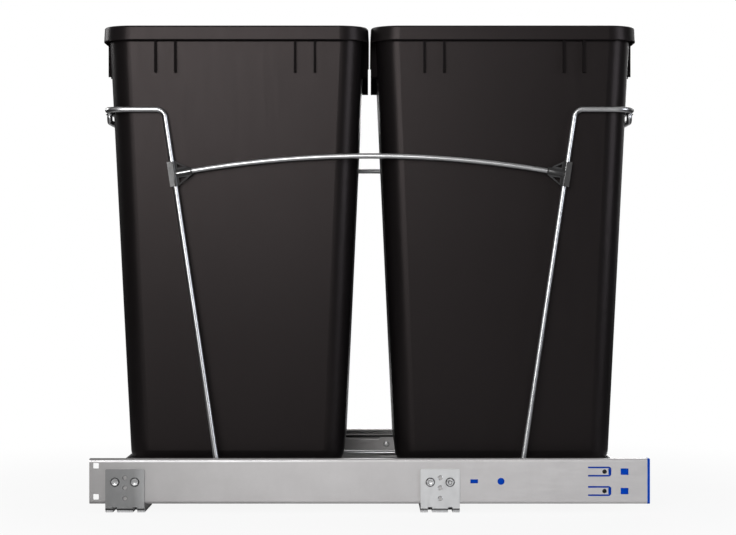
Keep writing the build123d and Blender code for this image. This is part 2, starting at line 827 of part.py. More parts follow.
def bin_volume(x, bottom_z, inset, bottom_radius):
    """Tapered body from its foot to the rim's top, the given inset inside the bin's outside."""
    foot = (body_length - foot_taper - 2 * inset, body_width - foot_taper - 2 * inset)
    mouth = (body_length + mouth_spread - 2 * inset, body_width + mouth_spread - 2 * inset)
    with BuildPart() as volume:
        with BuildSketch(Plane.XY.offset(bottom_z)):
            with Locations((x, 0)):
                RectangleRounded(*foot, foot_corner - inset)
        with BuildSketch(Plane.XY.offset(bin_top_z)):
            with Locations((x, 0)):
                RectangleRounded(*mouth, mouth_corner - inset)
        loft(ruled=True)
        fillet(volume.faces().sort_by(Axis.Z)[0].edges(), bottom_radius)
    return volume.part


def bin_part(x):
    """Thin moulded bin: tapered body, hollow flared rim and the ribs under it."""
    outside = bin_volume(x, bin_bottom_z, 0, bin_bottom_radius)
    inside = bin_volume(x, bin_bottom_z + bin_floor, bin_wall, bin_bottom_radius - bin_floor)
    with BuildPart() as shell:
        # rim: a flange whose skirt flares a little
        with BuildSketch(Plane.XY.offset(rim_bottom_z)):
            with Locations((x, 0)):
                RectangleRounded(bin_length, bin_width, rim_corner)
        with BuildSketch(Plane.XY.offset(bin_top_z)):
            with Locations((x, 0)):
                RectangleRounded(bin_length - 2 * rim_flare, bin_width - 2 * rim_flare, rim_corner)
        loft(ruled=True)
        rim_top = shell.faces().sort_by(Axis.Z)[-1]
        fillet(rim_top.edges(), rim_edge_radius)
        # hollow under the flange
        with BuildSketch(Plane.XY.offset(rim_bottom_z)):
            with Locations((x, 0)):
                RectangleRounded(bin_length - 2 * bin_wall, bin_width - 2 * bin_wall, rim_corner - bin_wall)
        extrude(amount=rim_height - bin_wall, mode=Mode.SUBTRACT)
        # ribs from the rim down the body, on all four sides
        with BuildSketch(Plane.XY.offset(rib_bottom_z)):
            for offset in rib_long_offsets:
                with Locations((x - offset, 0), (x + offset, 0)):
                    Rectangle(rib_thickness, bin_width - 2 * rib_inset)
            for offset in rib_end_offsets:
                with Locations((x, -offset), (x, offset)):
                    Rectangle(bin_length - 2 * rib_inset, rib_thickness)
        extrude(amount=rib_drop + rim_height - bin_wall / 2)
        add(outside)
        add(inside, mode=Mode.SUBTRACT)
    return shell.part


finish(bin_part(-bin_x), "front_bin")
finish(bin_part(bin_x), "rear_bin")
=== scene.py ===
"""Looks of the pull-out bin unit: camera, studio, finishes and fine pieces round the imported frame."""

import json
import math

import bmesh
import bpy
from mathutils import Matrix, Vector


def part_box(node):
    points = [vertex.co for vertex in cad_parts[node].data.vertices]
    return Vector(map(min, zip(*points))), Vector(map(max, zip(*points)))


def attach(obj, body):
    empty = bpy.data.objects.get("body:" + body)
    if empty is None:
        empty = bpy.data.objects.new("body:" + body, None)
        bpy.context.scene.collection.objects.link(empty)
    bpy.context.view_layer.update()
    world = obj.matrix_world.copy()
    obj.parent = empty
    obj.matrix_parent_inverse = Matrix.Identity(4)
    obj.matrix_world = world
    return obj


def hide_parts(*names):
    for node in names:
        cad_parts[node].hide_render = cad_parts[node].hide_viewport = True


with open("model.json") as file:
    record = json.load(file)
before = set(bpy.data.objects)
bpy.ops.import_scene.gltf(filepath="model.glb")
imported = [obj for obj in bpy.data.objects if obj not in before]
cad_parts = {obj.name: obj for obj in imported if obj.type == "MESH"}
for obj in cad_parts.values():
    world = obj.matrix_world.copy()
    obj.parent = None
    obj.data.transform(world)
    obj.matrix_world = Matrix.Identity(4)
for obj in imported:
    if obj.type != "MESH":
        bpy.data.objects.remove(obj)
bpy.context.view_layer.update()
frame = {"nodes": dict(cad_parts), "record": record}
nodes = frame["nodes"]

# ---- camera, in pixels of the photograph and metres of the frame ----------------------------

IMAGE_WIDTH = 736
SENSOR_MM = 36.0
FOCAL_PX = 1956.0
SLIDE_FACE_Y = -0.1825  # the near slide's face, from which the camera's distance is counted
CAMERA_DISTANCE = 1.950
CAMERA_HEIGHT = 0.2442
CAMERA_X = -0.0016
CLIP_NEAR = 0.05
CLIP_FAR = 50.0

scene = bpy.context.scene
camera_data = bpy.data.cameras.new("camera")
camera_data.sensor_width = SENSOR_MM
camera_data.lens = FOCAL_PX / IMAGE_WIDTH * SENSOR_MM
camera_data.clip_start = CLIP_NEAR
camera_data.clip_end = CLIP_FAR
camera = bpy.data.objects.new("camera", camera_data)
camera.location = (CAMERA_X, SLIDE_FACE_Y - CAMERA_DISTANCE, CAMERA_HEIGHT)
camera.rotation_euler = (math.radians(90.0), 0.0, 0.0)
scene.collection.objects.link(camera)
scene.camera = camera

# ---- node trees -----------------------------------------------------------------------------

TEXTURE_LOW = 0.3  # the middle range of a noise texture's values
TEXTURE_HIGH = 0.7


class Nodes:
    """Short calls for the nodes and links of a node tree, which starts empty."""

    def __init__(self, tree):
        self.tree = tree
        self.tree.nodes.clear()

    def add(self, kind, **settings):
        node = self.tree.nodes.new(kind)
        for key, value in settings.items():
            setattr(node, key, value)
        return node

    def feed(self, target, value):
        """Links a socket to the target, or sets the target to a number or colour."""
        if isinstance(value, bpy.types.NodeSocket):
            self.tree.links.new(value, target)
        else:
            target.default_value = value

    def math(self, operation, first, *others):
        """Math on sockets or numbers, from left to right where there are more than two."""
        result = first
        for other in others or (0.0,):
            node = self.add("ShaderNodeMath", operation=operation)
            self.feed(node.inputs[0], result)
            self.feed(node.inputs[1], other)
            result = node.outputs[0]
        return result

    def map_range(self, value, start, end, low, high, curve="LINEAR"):
        """Maps start..end to low..high, and holds the ends."""
        node = self.add("ShaderNodeMapRange", interpolation_type=curve)
        for name, number in (("From Min", start), ("From Max", end), ("To Min", low), ("To Max", high)):
            node.inputs[name].default_value = number
        self.feed(node.inputs["Value"], value)
        return node.outputs["Result"]

    def fade(self, value, start, end, low, high):
        """Maps start..end to low..high with soft ends."""
        return self.map_range(value, start, end, low, high, "SMOOTHSTEP")

    def split(self, vector):
        """X, Y and Z of a vector."""
        parts = self.add("ShaderNodeSeparateXYZ")
        self.feed(parts.inputs[0], vector)
        return parts.outputs["X"], parts.outputs["Y"], parts.outputs["Z"]


class Surface(Nodes):
    """The node tree of a new material."""

    def __init__(self, name):
        self.material = bpy.data.materials.new(name)
        self.material.use_nodes = True
        super().__init__(self.material.node_tree)
        self.output = self.add("ShaderNodeOutputMaterial")

    def principled(self, metallic=0.0):
        shader = self.add("ShaderNodeBsdfPrincipled")
        shader.inputs["Metallic"].default_value = metallic
        self.feed(self.output.inputs["Surface"], shader.outputs["BSDF"])
        return shader

    def matt(self, colour):
        """Diffuse shader of one colour."""
        node = self.add("ShaderNodeBsdfDiffuse")
        node.inputs["Color"].default_value = colour
        return node.outputs[0]

    def either(self, share, first, second):
        """Mixed shader: the second one's share grows from 0 to 1."""
        node = self.add("ShaderNodeMixShader")
        self.feed(node.inputs["Fac"], share)
        self.feed(node.inputs[1], first)
        self.feed(node.inputs[2], second)
        return node.outputs[0]

    def coordinates(self, scale=(1.0, 1.0, 1.0)):
        """Object coordinates, stretched along the axes."""
        source = self.add("ShaderNodeTexCoord")
        mapping = self.add("ShaderNodeMapping")
        mapping.inputs["Scale"].default_value = scale
        self.feed(mapping.inputs["Vector"], source.outputs["Object"])
        return mapping.outputs["Vector"]

    def axes(self):
        """X, Y and Z of a place on the object, in metres."""
        return self.split(self.coordinates())

    def noise(self, vector, scale, detail=4.0, roughness=0.5):
        texture = self.add("ShaderNodeTexNoise")
        for name, number in (("Scale", scale), ("Detail", detail), ("Roughness", roughness)):
            texture.inputs[name].default_value = number
        self.feed(texture.inputs["Vector"], vector)
        return texture.outputs["Fac"]

    def ramp(self, value, stops):
        """Colour ramp with (place, colour) stops."""
        node = self.add("ShaderNodeValToRGB")
        elements = node.color_ramp.elements
        while len(elements) < len(stops):
            elements.new(0.5)
        for element, (place, colour) in zip(elements, stops):
            element.position = place
            element.color = (*colour, 1.0)
        self.feed(node.inputs["Fac"], value)
        return node.outputs["Color"]

    def shades(self, texture, dark, light):
        """Maps a texture's middle range to two colours."""
        return self.ramp(texture, [(TEXTURE_LOW, dark), (TEXTURE_HIGH, light)])

    def spread(self, texture, low, high):
        """Maps a texture's middle range to low..high."""
        return self.map_range(texture, TEXTURE_LOW, TEXTURE_HIGH, low, high)

    def mix(self, blend, factor, first, second):
        """Mixed colour of two sockets or colours."""
        node = self.add("ShaderNodeMix", data_type="RGBA", blend_type=blend)
        self.feed(node.inputs["Factor"], factor)
        self.feed(node.inputs[6], first)
        self.feed(node.inputs[7], second)
        return node.outputs[2]

    def near(self, value, places, reach):
        """1 where the value lies within reach of one of the places."""
        closest = None
        for place in places:
            gap = self.math("ABSOLUTE", self.math("SUBTRACT", value, place))
            closest = gap if closest is None else self.math("MINIMUM", closest, gap)
        return self.math("LESS_THAN", closest, reach)

    def between(self, value, low, high):
        """1 where the value lies between low and high."""
        return self.near(value, [(low + high) / 2.0], (high - low) / 2.0)

    def bump(self, shader, height, strength, distance):
        node = self.add("ShaderNodeBump")
        node.inputs["Strength"].default_value = strength
        node.inputs["Distance"].default_value = distance
        self.feed(node.inputs["Height"], height)
        self.feed(shader.inputs["Normal"], node.outputs["Normal"])


# ---- finishes -------------------------------------------------------------------------------

# the bins' ribs and rim in metres, from the frame's middle or the bin's own centre
BIN_CENTRE = 0.13595
RIB_PLACES = (BIN_CENTRE - 0.0805, BIN_CENTRE - 0.0605, BIN_CENTRE + 0.0605, BIN_CENTRE + 0.0805)
END_RIB_PLACES = (0.085, 0.105)
RIB_HALF = 0.00112
RIB_BOTTOM = 0.4413
RIM_BOTTOM = 0.4738
CREASE_Z = 0.4737
CREASE_HALF = 0.0010
FACE_Y = 0.1500  # beyond this the long sides' ribs stand
END_X = 0.1265  # beyond this, from the bin's centre, the ends' ribs stand
SKIN_Y = 0.1532  # beyond this the crease shows on the long sides
SKIN_X = 0.1280  # beyond this, from the bin's centre, it shows on the ends

PLASTIC_DARK = (0.0052, 0.0044, 0.0046)
PLASTIC_LIGHT = (0.0066, 0.0057, 0.0059)
PLASTIC_SHEEN = 0.22  # specular level
PLASTIC_TINT = (1.0, 0.86, 0.85, 1.0)

SATIN_BELOW = 0.05  # how far the small moulded pieces' roughness varies round its middle value
SATIN_ABOVE = 0.06


def black_plastic():
    """Charcoal polypropylene: a fine moulded grain, faint clouding and upright streaks of satin.

    The ribs' narrow edges and the crease under the rim are fully rough, so they gather no
    highlight and stay almost black.
    """
    graph = Surface("black_plastic")
    shader = graph.principled()
    shader.inputs["Specular Tint"].default_value = PLASTIC_TINT
    shader.inputs["Specular IOR Level"].default_value = PLASTIC_SHEEN
    vector = graph.coordinates()
    clouds = graph.noise(vector, scale=7.0, detail=5.0)
    graph.feed(shader.inputs["Base Color"], graph.shades(clouds, PLASTIC_DARK, PLASTIC_LIGHT))
    x, y, z = graph.axes()
    wide = graph.math("ABSOLUTE", x)
    deep = graph.math("ABSOLUTE", y)
    from_centre = graph.math("ABSOLUTE", graph.math("SUBTRACT", wide, BIN_CENTRE))
    on_side = graph.math("GREATER_THAN", deep, FACE_Y)
    on_end = graph.math("GREATER_THAN", from_centre, END_X)
    side_ribs = graph.math("MULTIPLY", graph.near(wide, RIB_PLACES, RIB_HALF), on_side)
    end_ribs = graph.math("MULTIPLY", graph.near(deep, END_RIB_PLACES, RIB_HALF), on_end)
    level = graph.between(z, RIB_BOTTOM, RIM_BOTTOM)
    ribs = graph.math("MULTIPLY", graph.math("MAXIMUM", side_ribs, end_ribs), level)
    side_skin = graph.math("GREATER_THAN", deep, SKIN_Y)
    end_skin = graph.math("GREATER_THAN", from_centre, SKIN_X)
    skin = graph.math("MAXIMUM", side_skin, end_skin)
    crease = graph.math("MULTIPLY", graph.near(z, [CREASE_Z], CREASE_HALF), skin)
    streaks = graph.noise(graph.coordinates((30.0, 30.0, 3.0)), scale=6.0, detail=3.0)
    satin = graph.spread(streaks, 0.325, 0.355)
    matte = graph.math("MAXIMUM", ribs, crease)
    graph.feed(shader.inputs["Roughness"], graph.math("MAXIMUM", satin, matte))
    graph.bump(shader, graph.noise(vector, scale=1500.0, detail=2.0), strength=0.12, distance=0.0002)
    return graph.material


def chrome():
    """Chrome plate as bright as real chromium, with a faint film and waviness."""
    graph = Surface("chrome_wire")
    shader = graph.principled(metallic=1.0)
    vector = graph.coordinates()
    film = graph.shades(graph.noise(vector, scale=60.0), (0.55, 0.55, 0.555), (0.62, 0.62, 0.625))
    graph.feed(shader.inputs["Base Color"], film)
    graph.feed(shader.inputs["Roughness"], graph.spread(graph.noise(vector, scale=40.0), 0.28, 0.31))
    graph.bump(shader, graph.noise(vector, scale=60.0, detail=2.0), strength=0.004, distance=0.0002)
    return graph.material


def grey(value):
    """Colour with the same red, green and blue."""
    return (value, value, value)


def zinc_steel(name, dark, light, gloss, metallic, grain=(4.0, 60.0, 60.0), painted_shades=(), edge=None):
    """Zinc-plated sheet: rolling grain along the slide and a soft mottle.

    gloss is the lowest and the highest roughness.
    tones are (axis, from, to, blend, [(place, shade), ...]): painted light and shade along an axis, in
    metres.
    edge is (lowest, highest, bright until, plain from): a painted highlight along a top edge, in metres.
    """
    graph = Surface(name)
    shader = graph.principled(metallic)
    mottle = graph.noise(graph.coordinates(), scale=45.0, detail=6.0, roughness=0.6)
    rolled = graph.noise(graph.coordinates(grain), scale=12.0)
    colour = graph.shades(mottle, dark, light)
    spot = dict(zip("XYZ", graph.axes()))
    # painted light and shade laid over the colour, one axis at a time
    for axis, start, end, blend, stops in painted_shades:
        along = graph.map_range(spot[axis], start, end, 0.0, 1.0)
        shade = graph.ramp(along, [(place, grey(value)) for place, value in stops])
        colour = graph.mix(blend, 1.0, colour, shade)
    # edge paints a highlight along a top edge
    if edge:
        bottom, top, bright_until, plain_from = edge
        band = graph.between(spot["Z"], bottom, top)
        bright = graph.map_range(spot["X"], bright_until, plain_from, 1.0, 0.0)
        colour = graph.mix("MIX", graph.math("MULTIPLY", band, bright), colour, PAINTED_HIGHLIGHT_COLOUR)
    graph.feed(shader.inputs["Base Color"], colour)
    graph.feed(shader.inputs["Roughness"], graph.spread(rolled, *gloss))
    graph.bump(shader, rolled, strength=0.04, distance=0.0003)
    return graph.material


def moulded(name, dark, light, roughness, specular, dull=None):
    """Small moulded plastic pieces with an even satin grain.

    dull is (distance, roughness): nearer the unit's middle than this distance the surface is rougher.
    """
    graph = Surface(name)
    shader = graph.principled()
    shader.inputs["Specular IOR Level"].default_value = specular
    vector = graph.coordinates()
    graph.feed(shader.inputs["Base Color"], graph.shades(graph.noise(vector, scale=120.0), dark, light))
    grain = graph.noise(vector, scale=300.0)
    satin = graph.spread(grain, roughness - SATIN_BELOW, roughness + SATIN_ABOVE)
    if dull:
        distance, rougher = dull
        inside = graph.math("LESS_THAN", graph.math("ABSOLUTE", graph.axes()[1]), distance)
        satin = graph.math("ADD", satin, graph.math("MULTIPLY", inside, rougher - roughness))
    graph.feed(shader.inputs["Roughness"], satin)
    graph.bump(shader, graph.noise(vector, scale=2200.0, detail=2.0), strength=0.08, distance=0.00015)
    return graph.material


# painted shade on the slide's steel: darker towards its left end, full colour from X 0.14 on
SLIDE_PAINTED_SHADE = [
    ("X", -0.28, 0.14, "MULTIPLY",
     [(0.0, 0.50), (0.167, 0.69), (0.31, 0.79), (0.5, 0.88), (0.79, 0.93), (1.0, 1.0)]),
]
# painted highlight along the slide's top edge, bright on its left part, and its colour
SLIDE_PAINTED_HIGHLIGHT = (0.0500, 0.0518, -0.12, 0.0)
PAINTED_HIGHLIGHT_COLOUR = (0.74, 0.726, 0.731, 1.0)

# painted light and shade: by X the front brackets get painted shade; by Z a painted dark line of shade
# follows the bend and a painted pale reflection lightens the edge below it; by Y the sheet's inner parts
# get painted shadow, darker than its outer faces
BRACKET_PAINTED_LIGHT_AND_SHADE = [
    ("X", -0.27, -0.20, "MULTIPLY", [(0.0, 0.27), (0.5, 0.31), (0.62, 0.46), (0.9, 0.52), (1.0, 1.0)]),
    ("Z", 0.0, 0.010, "MULTIPLY", [(0.0, 1.0), (0.21, 1.0), (0.26, 0.20), (0.38, 0.20), (0.46, 1.0)]),
    ("Z", 0.0, 0.010, "LIGHTEN", [(0.0, 1.0), (0.20, 1.0), (0.24, 0.0)]),
    ("Y", -0.19, 0.19, "MULTIPLY", [(0.0, 1.0), (0.026, 1.0), (0.034, 0.30), (0.966, 0.30), (0.974, 1.0)]),
]

# the soft-close unit's screws, near the slide's rear end, are made almost black, and the front brackets'
# screws get painted shade, like their brackets
SCREW_DARKENING_AND_PAINTED_SHADE = [
    ("X", 0.20, 0.27, "MULTIPLY", [(0.0, 1.0), (0.30, 1.0), (0.36, 0.035)]),
    ("X", -0.27, -0.20, "MULTIPLY", [(0.0, 0.55), (0.9, 0.62), (1.0, 1.0)]),
]

FINISHES = {
    "black_plastic": black_plastic(),
    "chrome_wire": chrome(),
    "slide_steel": zinc_steel(
        "slide_steel", (0.605, 0.586, 0.581), (0.652, 0.633, 0.628), gloss=(0.34, 0.46), metallic=0.4,
        painted_shades=SLIDE_PAINTED_SHADE, edge=SLIDE_PAINTED_HIGHLIGHT),
    "bracket_steel": zinc_steel(
        "bracket_steel", grey(0.69), grey(0.78), gloss=(0.30, 0.42), metallic=0.5,
        grain=(30.0, 30.0, 8.0), painted_shades=BRACKET_PAINTED_LIGHT_AND_SHADE),
    "screw_steel": zinc_steel(
        "screw_steel", grey(0.80), grey(0.88), gloss=(0.22, 0.32), metallic=0.5, painted_shades=SCREW_DARKENING_AND_PAINTED_SHADE),
    "ball_steel": zinc_steel("ball_steel", grey(0.60), grey(0.70), gloss=(0.10, 0.18), metallic=1.0),
    "grey_plastic": moulded(
        "grey_plastic", (0.016, 0.015, 0.015), (0.022, 0.021, 0.021), roughness=0.34, specular=0.75,
        dull=(0.160, 0.75)),
    "blue_plastic": moulded(
        "blue_plastic", (0.0, 0.046, 0.39), (0.0, 0.056, 0.46), roughness=0.42, specular=0.04),
}

for part in frame["record"]["subparts"]:
    carried = nodes[part["node"]]
    for material_slot in carried.material_slots:
        material_slot.material = FINISHES[part["material_slot"]]

# ---- fine pieces ----------------------------------------------------------------------------

MM = 0.001
SIDES = {"right": -1.0, "left": 1.0}
SAME_POINT = 1e-6  # metres within which the corners of a solid's faces are one
NO_EDGES = 180.0  # angle at which a piece is shaded smooth all over

# the frame's wires and the line of its leaning uprights
WIRE_RADIUS = 2.8 * MM
SIDE_WIRE_Y = 0.157
UPRIGHT_X = 0.2078  # where the upright's centreline leaves the hoop
UPRIGHT_Z = 0.4039
UPRIGHT_LEAN = 0.1495

# bracket screws
SCREW_STANDOUT = 2.6 * MM  # from the washer's seat to the top of the solid's head
HEAD_LIFT = 0.9 * MM  # from the seat to the head's underside
HEAD_RADIUS = 3.95 * MM
HEAD_HEIGHT = 1.7 * MM
HEAD_STEPS = 48
FIRST_TURN = 0.35  # radians
TURN_STEP = 0.5
CROWN_START = 0.72  # share of the head's height where its chamfer starts
CROWN_REACH = 0.93  # the crown's edge, as a share of the distance to the flats
CORNER_DROP = 0.5  # how much lower the chamfer starts at a corner, per metre that the corner stands out
DISH = ((0.62, 1.0), (0.52, 0.90), (0.30, 0.84))  # shares of the distance to the flats, and of the height
SHANK_RADIUS = 2.35 * MM
SHANK_TIP = 1.9 * MM
SHANK_CHAMFER = 0.4 * MM
SHANK_OVERLAP = 1.0 * MM  # how far it goes past the seat, into the head

# profiles that are turned, as (radius, height) in millimetres
SHADOW_RING = ((2.5, 0.0), (4.6, 0.0), (4.6, 0.3), (3.9, 1.05), (2.5, 1.15), (2.5, 0.0))
DIMPLE_RIM = ((2.00, -0.1), (2.50, -0.1), (2.43, 0.1), (2.25, 0.18), (2.07, 0.1), (2.00, -0.1))
SOCKET = ((0.0, -1.0), (0.45, -1.0), (0.95, -0.35), (1.1, -0.06), (1.3, 0.0))
ROUNDED_RIM = ((0.35, 0.1), (0.1, 0.3), (0.0, 0.6))  # inset from a damper screw's rim, and depth

FOOT_CHAMFER = 0.4 * MM  # at the damper screws' inner end
DIMPLE_LEVELS = (0.0348, 0.0248, 0.0142)  # heights of the brackets' dimples, in metres

# carrier rivets; DOME is (share of the radius, height in millimetres)
DOME = ((0.0, 0.0), (1.0, 0.0), (1.0, 0.25), (0.93, 0.65), (0.70, 1.05), (0.38, 1.26), (0.0, 1.3))
DOME_HEIGHT = 1.3 * MM
TAIL_RADIUS = 1.98 * MM
TAIL_EDGE = 1.75 * MM
TAIL_CHAMFER = 0.15 * MM
TAIL_HOLE = 0.5 * MM  # radius and depth of the hollow in the tail's end
TAIL_HOLE_FLOOR = 0.4 * MM

# weld beads of the frame
BEAD_SIZE = 3.0 * MM
BEAD_FLAT = (1.0, 1.0, 0.55)
BEAD_WIDE = (1.25, 1.25, 0.6)
BEAD_RIPPLE = 0.07
RIPPLE_X = 2100.0
RIPPLE_Y = 1900.0

# snap lips of the connectors, in millimetres: how far a lip reaches inwards at the sleeve, and
# the lowest and highest line of each lip along the arm
LIPS = (
    ("front", -1.0, 1.75, ((-1.15, -0.5), (0.5, 1.15))),
    ("rear", 1.0, 1.0, ((-1.15, 1.15),)),
)
LIP_START = -0.1
SLEEVE_FACES = (4.55, 4.45, 2.9, 3.0)  # distances from the wire's middle, round the lip's section
SLEEVE_MARGINS = (0.6 * MM, 1.2 * MM)  # left free at the sleeve's lower and upper end
ARM_FACES = (2.6, 3.65)
ARM_SPAN = (3.2 * MM, 16.8 * MM)  # along the arm, from the upright's centreline
LIP_BEVEL = 0.12 * MM


def millimetres(profile):
    """Profile in metres from one in millimetres."""
    return [(radius * MM, height * MM) for radius, height in profile]


def islands(node):
    """Lowest and highest corner of each separate solid of a node."""
    source = nodes[node].data
    whole = bmesh.new()
    whole.from_mesh(source)
    bmesh.ops.remove_doubles(whole, verts=whole.verts, dist=SAME_POINT)
    fresh = set(whole.verts)
    boxes = []
    while fresh:
        stack = [fresh.pop()]
        low, high = Vector(stack[0].co), Vector(stack[0].co)
        while stack:
            vertex = stack.pop()
            low = Vector(map(min, low, vertex.co))
            high = Vector(map(max, high, vertex.co))
            for edge in vertex.link_edges:
                other = edge.other_vert(vertex)
                if other in fresh:
                    fresh.remove(other)
                    stack.append(other)
        boxes.append((low, high))
    whole.free()
    return sorted(boxes, key=lambda pair: tuple(pair[0]))


def across(low, high, sign):
    """X and Z of a box's middle, and the Y of its outer and inner end on one side of the unit."""
    outer_y, inner_y = (low.y, high.y) if sign < 0 else (high.y, low.y)
    return (low.x + high.x) / 2.0, (low.z + high.z) / 2.0, outer_y, inner_y


def piece(name, mesh, body, slot, replaced=()):
    """Object from a bmesh that rides on a body and takes the finish of a slot."""
    data = bpy.data.meshes.new(name)
    bmesh.ops.recalc_face_normals(mesh, faces=mesh.faces)
    mesh.to_mesh(data)
    mesh.free()
    made = bpy.data.objects.new(name, data)
    scene.collection.objects.link(made)
    data.materials.append(FINISHES[slot])
    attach(made, body)
    if replaced:
        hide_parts(*replaced)
    return made


def smooth(made, angle=35.0):
    """Shades the piece smooth between edges sharper than the angle."""
    for polygon in made.data.polygons:
        polygon.use_smooth = True
    made.data.set_sharp_from_angle(angle=math.radians(angle))


def turned_point(mesh, place, facing, radius, angle, height):
    """Vertex round an axis that points along facing, from place."""
    turn = Vector(facing).to_track_quat("Z", "Y").to_matrix()
    local = Vector((radius * math.cos(angle), radius * math.sin(angle), height))
    return mesh.verts.new(Vector(place) + turn @ local)


def skin(mesh, rings, steps):
    """Faces between neighbouring rings of vertices; a ring of one vertex is a pole."""
    for lower, upper in zip(rings, rings[1:]):
        for k in range(steps):
            after = (k + 1) % steps
            corners = [lower[k % len(lower)], lower[after % len(lower)],
                       upper[after % len(upper)], upper[k % len(upper)]]
            unique = list(dict.fromkeys(corners))
            if len(unique) > 2:
                mesh.faces.new(unique)


def lathe(mesh, profile, place, facing, steps=36):
    """Turns (radius, height) points round an axis that points along facing, from place."""
    rings = []
    for radius, height in profile:
        angles = [2.0 * math.pi * k / steps for k in range(steps if radius else 1)]
        rings.append([turned_point(mesh, place, facing, radius, angle, height) for angle in angles])
    skin(mesh, rings, steps)


def hex_head(mesh, place, facing, radius, height, turn_angle):
    """Hexagon with a chamfered crown and a dished top."""
    sixth = math.pi / 3.0
    apothem = radius * math.cos(sixth / 2.0)
    angles = [2.0 * math.pi * k / HEAD_STEPS for k in range(HEAD_STEPS)]
    flats = [apothem / math.cos((angle + sixth / 2.0) % sixth - sixth / 2.0) for angle in angles]
    outlines = (
        [(flat, 0.0) for flat in flats],
        [(flat, CROWN_START * height - (flat - apothem) * CORNER_DROP) for flat in flats],
        [(apothem * CROWN_REACH, height) for flat in flats],
    )
    rings = []
    for outline in outlines:
        rings.append([turned_point(mesh, place, facing, reach, angle + turn_angle, level)
                      for angle, (reach, level) in zip(angles, outline)])
    for share, level in DISH:
        rings.append([turned_point(mesh, place, facing, apothem * share, angle, level * height)
                      for angle in angles])
    skin(mesh, rings, HEAD_STEPS)
    mesh.faces.new(rings[-1])


def ball_row(node, body):
    """Round polished balls in place of a node's simple ones."""
    mesh = bmesh.new()
    for low, high in islands(node):
        centre = (low + high) / 2.0
        radius = (high.z - low.z) / 2.0
        bmesh.ops.create_icosphere(mesh, subdivisions=3, radius=radius, matrix=Matrix.Translation(centre))
    smooth(piece(f"{node}_round", mesh, body, "ball_steel", (node,)), NO_EDGES)


def bracket_screw_set(side, sign):
    """Hexagon screws with a dished crown and a shank, each on a conical ring under its head, dark as a
    painted shadow.
    """
    node = f"{side}_bracket_screws"
    mesh = bmesh.new()
    shadow_rings = bmesh.new()
    outwards = (0.0, sign, 0.0)
    inwards = (0.0, -sign, 0.0)
    for count, (low, high) in enumerate(islands(node)):
        x, z, face_y, root_y = across(low, high, sign)
        seat = face_y - sign * SCREW_STANDOUT
        # the dark ring under each head is painted shadow
        lathe(shadow_rings, millimetres(SHADOW_RING), (x, seat, z), outwards, steps=40)
        hex_head(mesh, (x, seat + sign * HEAD_LIFT, z), outwards, HEAD_RADIUS, HEAD_HEIGHT,
                 FIRST_TURN + TURN_STEP * count)
        length = abs(seat - root_y)
        shank = [(0.0, -SHANK_OVERLAP), (SHANK_RADIUS, -SHANK_OVERLAP),
                 (SHANK_RADIUS, length - SHANK_CHAMFER), (SHANK_TIP, length), (0.0, length)]
        lathe(mesh, shank, (x, seat, z), inwards, steps=28)
    smooth(piece(f"{node}_detailed", mesh, "cabinet_fixed", "screw_steel", (node,)))
    smooth(piece(f"{side}_bracket_shadow_rings", shadow_rings, "cabinet_fixed", "grey_plastic"))


def dimple_rims(side, sign):
    """Raised rims round the three pressed dimples of each bracket's upright."""
    mesh = bmesh.new()
    for bracket in ("front", "rear"):
        x, _, face_y, _ = across(*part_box(f"{side}_{bracket}_bracket"), sign)
        for z in DIMPLE_LEVELS:
            lathe(mesh, millimetres(DIMPLE_RIM), (x, face_y, z), (0.0, sign, 0.0))
    smooth(piece(f"{side}_dimple_rims", mesh, "cabinet_fixed", "ball_steel"))


def damper_screw_set(side, sign):
    """Almost black button screws with a rounded rim and a tapered drive socket."""
    node = f"{side}_damper_screws"
    mesh = bmesh.new()
    for low, high in islands(node):
        x, z, face_y, _ = across(low, high, sign)
        length = high.y - low.y
        rim = (high.z - low.z) / 2.0
        profile = millimetres(SOCKET)
        profile += [(rim - inset * MM, -depth * MM) for inset, depth in ROUNDED_RIM]
        profile += [(rim, FOOT_CHAMFER - length), (rim - FOOT_CHAMFER, -length), (0.0, -length)]
        lathe(mesh, profile, (x, face_y, z), (0.0, sign, 0.0))
    smooth(piece(f"{node}_socketed", mesh, "cabinet_fixed", "screw_steel", (node,)))


def rivet_set(side, sign):
    """Rivets with low domed heads and flared tails."""
    node = f"{side}_carrier_rivets"
    mesh = bmesh.new()
    for low, high in islands(node):
        x, z, outer_y, inner_y = across(low, high, sign)
        radius = (high.z - low.z) / 2.0
        seat = inner_y + sign * DOME_HEIGHT
        dome = [(share * radius, level * MM) for share, level in DOME]
        lathe(mesh, dome, (x, seat, z), (0.0, -sign, 0.0))
        length = abs(seat - outer_y)
        tail = [(TAIL_RADIUS, 0.0), (TAIL_RADIUS, length - TAIL_CHAMFER), (TAIL_EDGE, length),
                (TAIL_HOLE, length), (TAIL_HOLE_FLOOR, length - TAIL_HOLE), (0.0, length - TAIL_HOLE)]
        lathe(mesh, tail, (x, seat, z), (0.0, sign, 0.0), steps=28)
    smooth(piece(f"{node}_domed", mesh, "pull_out_frame", "screw_steel", (node,)))


